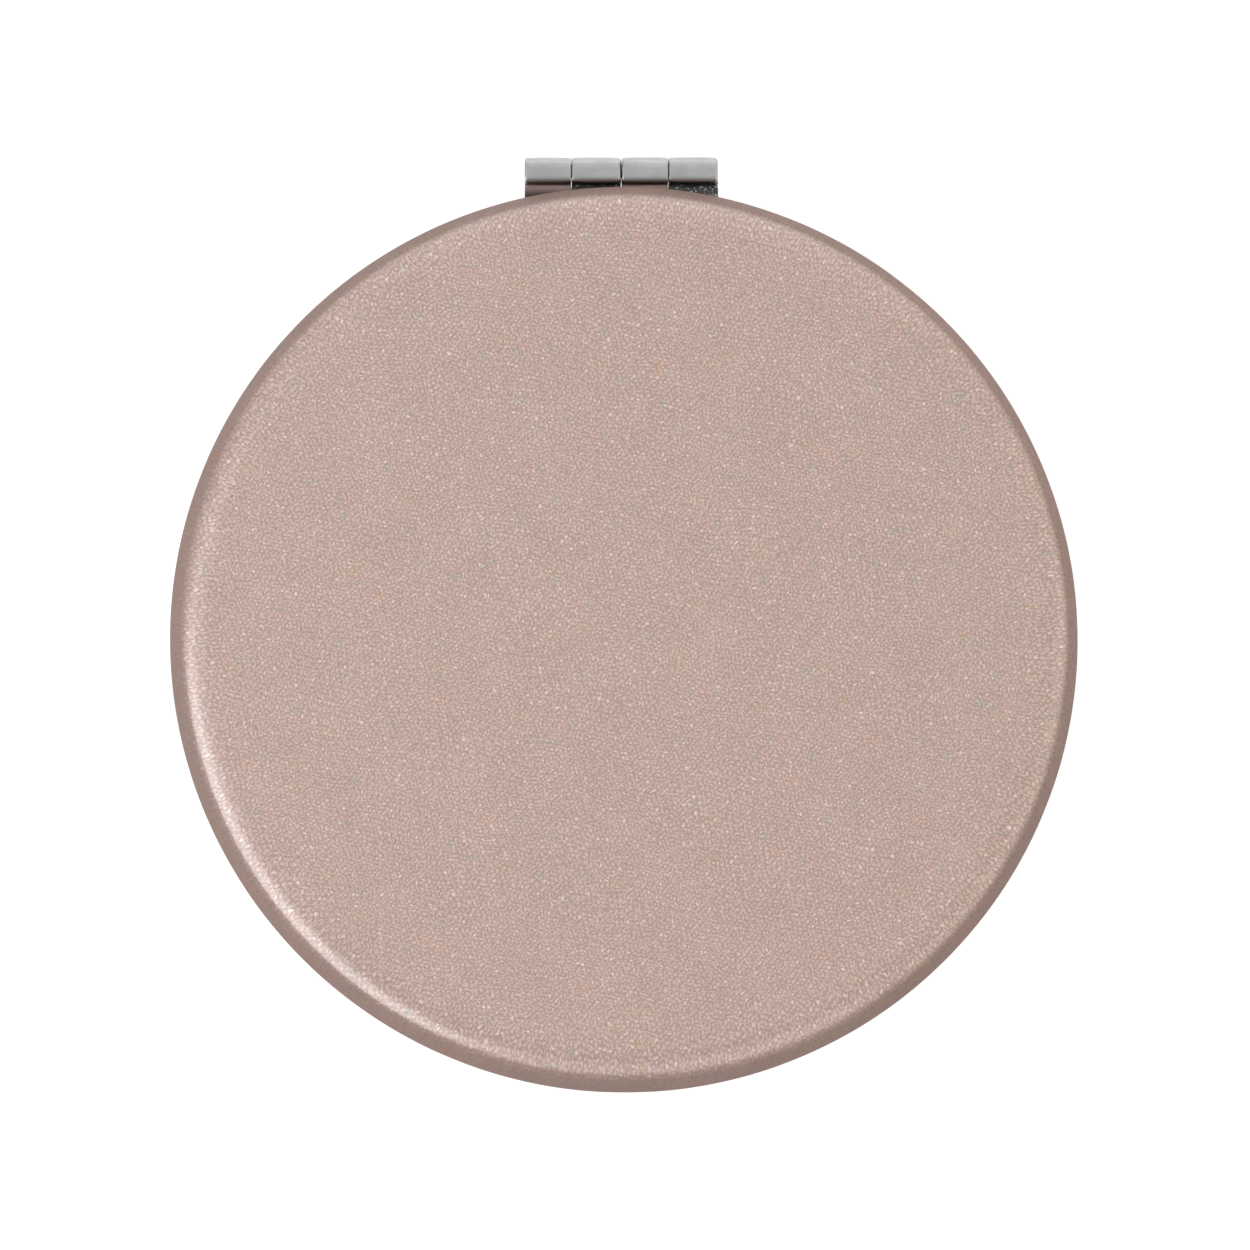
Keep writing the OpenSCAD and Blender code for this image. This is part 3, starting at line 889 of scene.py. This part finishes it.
def angleAt(radius, height):
    # degrees from straight up of the point at this height, on the front side
    return math.degrees(math.atan2(-math.sqrt(radius ** 2 - height ** 2), height))


def curlOutline(sizes):
    # cross-section of the sheet curled round the pin: (y, height, whether it is on the bore's side)
    up = sizes["sheet"] - sizes["axisUp"]
    down = -sizes["axisUp"]
    fillet = sizes["valley"]
    first = sizes["curlFrom"]
    y, h, lean = pressedRound(first, sizes)
    while h + fillet * (math.cos(math.radians(lean)) - 1) > up:     # until the fillet meets the leaf
        first -= sizes["curlSearch"]
        y, h, lean = pressedRound(first, sizes)
    valley = (y - fillet * math.sin(math.radians(lean)), up + fillet)
    big, small = False, True
    points = [(-sizes["rootBack"], up, big)]
    points += [(y, h, big) for y, h in arc(valley, fillet, 180, 180 - lean, 8)]
    low = down - sizes["seam"]
    last = angleAt(sizes["outer"], low) + 360
    steps = sizes["curlSteps"]
    for i in range(1, steps + 1):
        points.append((*pressedRound(first + (last - first) * i / steps, sizes)[:2], big))
    start, end = angleAt(sizes["bore"], low) + 360, angleAt(sizes["bore"], down)
    points += [(y, h, small) for y, h in arc((0, 0), sizes["bore"], start, end, sizes["boreSteps"])]
    points += [(-sizes["lipBack"], down, small), (-sizes["rootBack"], down, small)]
    return points


def insetPoint(points, i, amount):
    # moved inwards along the outline's normal
    before, here, after = points[i - 1], points[i], points[(i + 1) % len(points)]
    ty, th = after[0] - before[0], after[1] - before[1]
    length = math.hypot(ty, th) or 1
    return here[0] + th / length * amount, here[1] - ty / length * amount


def knuckleStations(length, leftRound, rightRound, sizes):
    # (x, inset at the rounded outside, inset at the bore), from the left end to the right
    ends, middle = sizes["endSteps"], sizes["middleSteps"]
    quarter = [math.pi / 2 * k / ends for k in range(ends + 1)]
    stations = [(leftRound * (1 - math.cos(a)), leftRound * (1 - math.sin(a))) for a in quarter]
    stations += [(leftRound + (length - leftRound - rightRound) * k / middle, 0.0)
                 for k in range(1, middle)]
    stations += [(length - rightRound * (1 - math.cos(a)), rightRound * (1 - math.sin(a)))
                 for a in quarter[::-1]]
    made = []
    for x, inset in stations:
        off = abs(2 * x / length - 1)
        bore = sizes["boreRound"] * max(0.0, 1 - min(x, length - x) / sizes["boreRound"])
        made.append((x, inset + sizes["barrelCrown"] * off ** 3, bore))
    return made


def makeKnuckle(name, length, leftRound, rightRound, sizes):
    outline = curlOutline(sizes)
    work = bmesh.new()
    rows = []
    for x, outside, bore in knuckleStations(length, leftRound, rightRound, sizes):
        inset = [insetPoint(outline, i, bore if p[2] else outside) for i, p in enumerate(outline)]
        rows.append([work.verts.new((x * mm, (y + caseSizes["axisY"]) * mm, (h + sizes["axisUp"]) * mm))
                     for y, h in inset])
    skinRows(work, rows)
    work.faces.new(rows[0])
    work.faces.new(rows[-1][::-1])
    bmesh.ops.recalc_face_normals(work, faces=work.faces)
    return linkPiece(name, toMesh(name, work))


def makeLeafPlate(name, sizes):
    points, edges = [], []

    def addLoop(loop):
        first = len(points)
        points.extend(Vector(p) for p in loop)
        edges.extend((first + i, first + (i + 1) % len(loop)) for i in range(len(loop)))

    addLoop([(sizes["left"], sizes["slotY"]), (-sizes["left"], sizes["slotY"])]
            + circleEdge(sizes["leafRadius"], sizes["left"], sizes["leafSteps"]))
    hole, halfTurn = sizes["rivetHead"] + sizes["rivetClear"], sizes["rivetSegments"] // 2
    for side in (-1, 1):
        addLoop([(side * sizes["rivetX"] + hole * math.cos(a * math.pi / halfTurn),
                  sizes["rivetY"] + hole * math.sin(a * math.pi / halfTurn)) for a in range(2 * halfTurn)])
    insideWithHoles = 2
    flat = delaunay_2d_cdt(points, edges, [], insideWithHoles, 1e-6)
    work = bmesh.new()
    low = [work.verts.new((p[0] * mm, p[1] * mm, 0)) for p in flat[0]]
    faces = [work.faces.new([low[i] for i in face]) for face in flat[2]]
    grown = bmesh.ops.extrude_face_region(work, geom=faces)
    bmesh.ops.translate(work, vec=(0, 0, sizes["sheet"] * mm),
                        verts=[g for g in grown["geom"] if isinstance(g, bmesh.types.BMVert)])
    bmesh.ops.recalc_face_normals(work, faces=work.faces)
    plate = linkPiece(name, toMesh(name, work))
    soften = plate.modifiers.new("soften", "BEVEL")
    soften.width = sizes["leafSoft"] * mm
    soften.segments = 2
    soften.limit_method = "ANGLE"
    soften.angle_limit = math.radians(sizes["softAngle"])
    keepResult(plate)
    return plate


def makeHingeLeaf(half, start, sizes):
    knuckles = makeKnuckle(half + "Knuckles", sizes[half + "Length"], *sizes[half + "Ends"], sizes)
    pitch = sizes["lidLength"] + sizes["baseLength"] + 2 * sizes["gap"]
    runTree(knuckles, rowTree, Count=2, Start=(start * mm, 0, 0), Step=(pitch * mm, 0, 0),
            Material=hingeSteel)
    leaf = makeLeafPlate(half + "Leaf", sizes)
    leaf.data.materials.append(hingeSteel)
    combine(leaf, knuckles, "UNION")
    tidyNormals(leaf, sizes["sharpAngle"])
    finishHalf(leaf, half, "_hinge_leaf")


def makeRivets(half, sizes):
    h, s, end = sizes["rivetHead"], sizes["rivetShank"], sizes["rivetEnd"]
    points = [(h * share, depth) for share, depth in sizes["rivetDome"]]
    points += [(h - sizes["rivetRim"], 0.0), (h, sizes["rivetRim"]), (s, sizes["rivetCone"]),
               (s, sizes["rivetLength"] - end), (s - end, sizes["rivetLength"]), (0, sizes["rivetLength"])]
    rivets = turnProfile(half + "Rivets", points, rivetSteel, segments=sizes["rivetSegments"],
                         sharpAngle=sizes["rivetSharp"])
    runTree(rivets, rowTree, Count=2, Start=(-sizes["rivetX"] * mm, sizes["rivetY"] * mm, 0),
            Step=(2 * sizes["rivetX"] * mm, 0, 0), Material=rivetSteel)
    tidyNormals(rivets, sizes["rivetSharp"])
    finishHalf(rivets, half, "_hinge_rivets")


makeHingeLeaf("lid", hingeSizes["left"], hingeSizes)
makeHingeLeaf("base", hingeSizes["left"] + hingeSizes["lidLength"] + hingeSizes["gap"], hingeSizes)
makeRivets("lid", hingeSizes)
makeRivets("base", hingeSizes)

pinSizes = {"length": 14.72, "radius": 0.55, "endRound": 0.12, "endFlat": 0.15, "sideSoft": 0.05,
            "segments": 64, "sharpAngle": 50}


def makePin(sizes):
    r, e, l = sizes["radius"], sizes["endRound"], sizes["length"] / 2
    tip, side = r - e - sizes["endFlat"], l - e - sizes["sideSoft"]
    points = [(0, l), (tip, l)] + arc((r - e, l - e), e, 20, 90, 4) + linePoints((r, side), (r, -side), 4)
    points += arc((r - e, -l + e), e, 90, 160, 4) + [(tip, -l), (0, -l)]
    pin = turnProfile("hingePin", points, pinSteel, segments=sizes["segments"],
                      sharpAngle=sizes["sharpAngle"])
    pin.data.transform(Matrix.Translation((0, caseSizes["axisY"] * mm, caseSizes["axisZ"] * mm))
                       @ Matrix.Rotation(math.radians(90), 4, "Y"))
    handOver(pin, "base", "hinge_pin")


makePin(pinSizes)


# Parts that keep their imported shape

def dressNode(node, material):
    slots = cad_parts[node].data.materials
    if not slots:
        slots.append(material)
    for i in range(len(slots)):
        slots[i] = material


for half in ("lid", "base"):
    dressNode(half + "_shell", shellPlastic)
    dressNode(half + "_magnet", magnetPlating)
print("shells and magnets dressed")


# Floor, world and lamps

white = (1.0, 1.0, 1.0)
studio = {
    "zenith": 0.54, "horizon": 0.52,       # the world's grey overhead and at eye level
    "skyRange": (0.05, 0.85),
    "warmSide": (1.0, 0.92, 0.83), "warmRange": (0.1, 0.95),   # its tint at the right
    "backLift": 0.88, "rightLift": 0.60,   # the world is this much lighter behind and at the right
    "floorTone": 0.56,
    "floorGlow": 0.80, "floorSeen": 0.42,  # its light and its tone as the camera sees it
    "floorReach": 3.0, "floorDrop": 0.01,  # m, and mm below the case
    "lamps": [
        # name, place in mm, width and height in mm, watts, colour
        ("overhead", (-40, 260, 700), (700, 700), 0.3, white),
        ("lowLeft", (-413, -258, 354), (640, 300), 1.90, white),
        ("nearLeft", (-150, 10, 190), (150, 150), 0.055, (1.0, 0.99, 0.98)),
        ("right", (305, -90, 200), (420, 200), 0.13, (1.0, 0.90, 0.80)),
        ("back", (-40, 700, 260), (900, 420), 0.42, white),
        ("front", (60, -430, 400), (500, 260), 0.40, white),
    ],
}


def makeFloor(values):
    material, tree = startMaterial("paleFloor")
    rays = addNode(tree, "ShaderNodeLightPath").outputs
    seen = mathNode(tree, "ADD", rays["Is Camera Ray"], rays["Is Glossy Ray"], True)
    seen = mathNode(tree, "ADD", seen, rays["Is Transmission Ray"], True)
    plain, dim = [addNode(tree, "ShaderNodeBsdfDiffuse", Color=(tone, tone, tone, 1)).outputs[0]
                  for tone in (values["floorTone"], values["floorSeen"])]
    glow = addNode(tree, "ShaderNodeEmission", Color=(1, 1, 1, 1), Strength=values["floorGlow"])
    both, mix = addNode(tree, "ShaderNodeAddShader"), addNode(tree, "ShaderNodeMixShader")
    feed(tree, both.inputs, glow.outputs[0], dim)
    feed(tree, mix.inputs, seen, plain, both.outputs[0])
    addNode(tree, "ShaderNodeOutputMaterial", Surface=mix.outputs[0])
    work = bmesh.new()
    bmesh.ops.create_grid(work, x_segments=8, y_segments=8, size=values["floorReach"])
    bmesh.ops.translate(work, vec=(0, 0, -values["floorDrop"] * mm), verts=work.verts)
    floor = linkPiece("floor", toMesh("floor", work))
    floor.data.materials.append(material)


def makeWorld(values):
    world = bpy.data.worlds.new("studioWorld")
    world.use_nodes = True
    tree = world.node_tree
    tree.nodes.clear()
    way = addNode(tree, "ShaderNodeTexCoord").outputs["Generated"]
    x, back, height = axesOf(tree, way)
    level = rampBetween(tree, height, *values["skyRange"], values["horizon"], values["zenith"])
    lift = plus(tree, 1.0, times(tree, back, values["backLift"]))
    lift = plus(tree, lift, times(tree, x, values["rightLift"]))
    tint = mixColours(tree, rampBetween(tree, x, *values["warmRange"]), white, values["warmSide"])
    glow = addNode(tree, "ShaderNodeBackground", Color=tint, Strength=times(tree, level, lift))
    addNode(tree, "ShaderNodeOutputWorld", Surface=glow.outputs[0])
    bpy.context.scene.world = world


def makeLamps(values):
    for name, place, size, watts, colour in values["lamps"]:
        light = bpy.data.lights.new(name, "AREA")
        light.shape = "RECTANGLE"
        light.size, light.size_y = size[0] * mm, size[1] * mm
        light.energy = watts
        light.color = colour
        lamp = linkPiece(name, light)
        lamp.location = Vector(place) * mm
        lamp.rotation_euler = (-Vector(place)).to_track_quat("-Z", "Y").to_euler()


makeFloor(studio)
makeWorld(studio)
makeLamps(studio)
bpy.context.scene.view_settings.view_transform = "Standard"
print("studio set")
